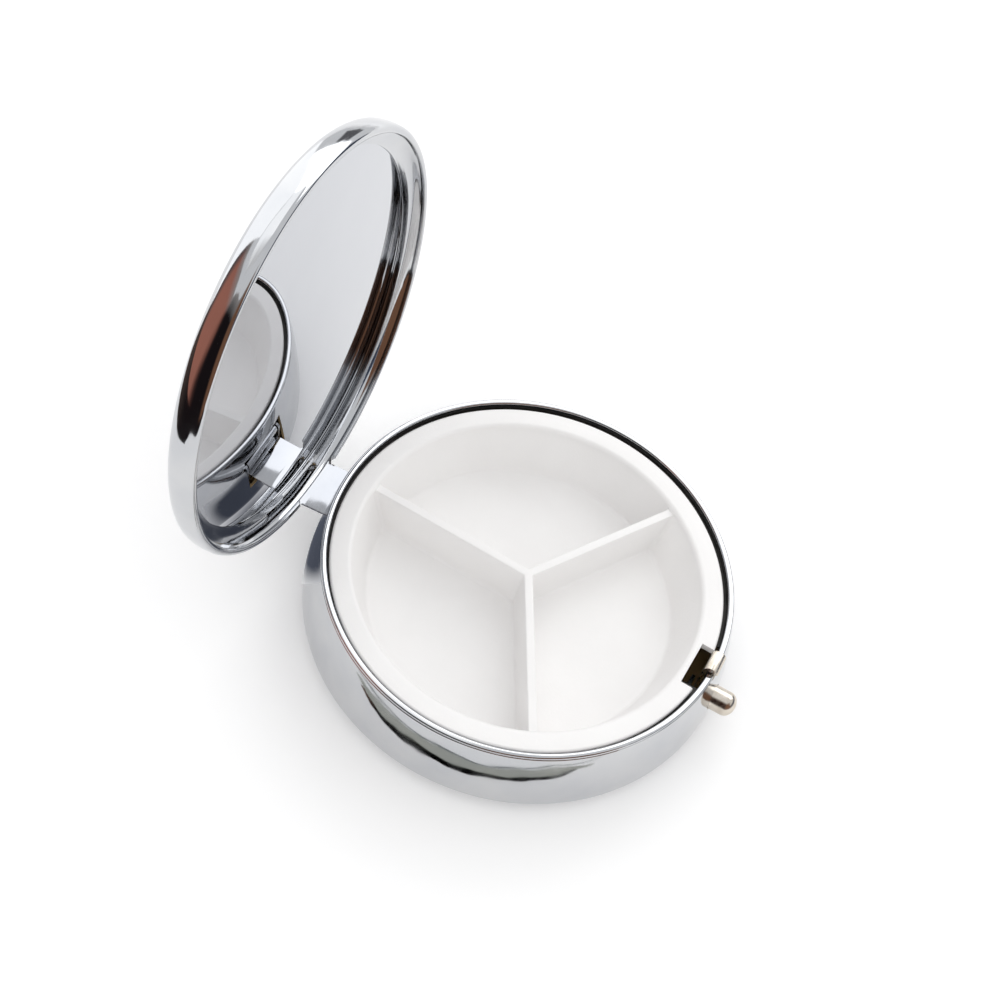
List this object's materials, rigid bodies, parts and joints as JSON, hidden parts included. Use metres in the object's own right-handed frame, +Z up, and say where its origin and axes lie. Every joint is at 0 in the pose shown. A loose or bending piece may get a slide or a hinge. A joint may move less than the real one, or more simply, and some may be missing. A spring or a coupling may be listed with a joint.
{
  "type": "pill organizer compact",
  "caption": "Round pocket pill box with a hinged mirrored lid, a divided moulded insert and a push-button catch.",
  "frame": {"origin": "centre of the flat underside", "axes": "+Z up, -Y towards the push button, hinge axis along X at the +Y side"},
  "size_m": [0.05, 0.063, 0.0535],
  "materials": {
    "chrome": "polished",
    "nickel": "satin",
    "steel": "plain",
    "mirror": "polished",
    "white_plastic": "satin, faint mould texture",
    "foam": "matt"
  },
  "bodies": {
    "base": {"base_shell": "chrome", "base_liner": "chrome", "hinge_bracket": "steel", "hinge_pin": "steel", "latch_bracket": "steel", "latch_rivet": "steel", "pill_tray": "white_plastic"},
    "lid": {"lid_shell": "chrome", "lid_bezel": "chrome", "mirror_glass": "mirror", "mirror_pad": "foam"},
    "button": {"push_button": "nickel"},
    "catch": {"latch_leaf": "nickel"}
  },
  "joints": [
    {"name": "lid_hinge", "type": "hinge", "parent": "base", "child": "lid", "pos_m": [0, 0.02323, 0.0063], "axis": [1, 0, 0], "range_deg": [0, 95.7]},
    {"name": "button_press", "type": "slide", "parent": "base", "child": "button", "axis": [0, 1, 0], "range_m": [0, 0.00045], "stiffness_N_per_m": 2000, "springref_m": -0.0003},
    {"name": "catch_flex", "type": "hinge", "parent": "base", "child": "catch", "pos_m": [0, -0.0224, 0.0011], "axis": [-1, 0, 0], "range_deg": [0, 7.59]}
  ],
  "couplings": [
    {"joint": "catch_flex", "follows": "button_press", "rad_per_m": 294.1}
  ]
}
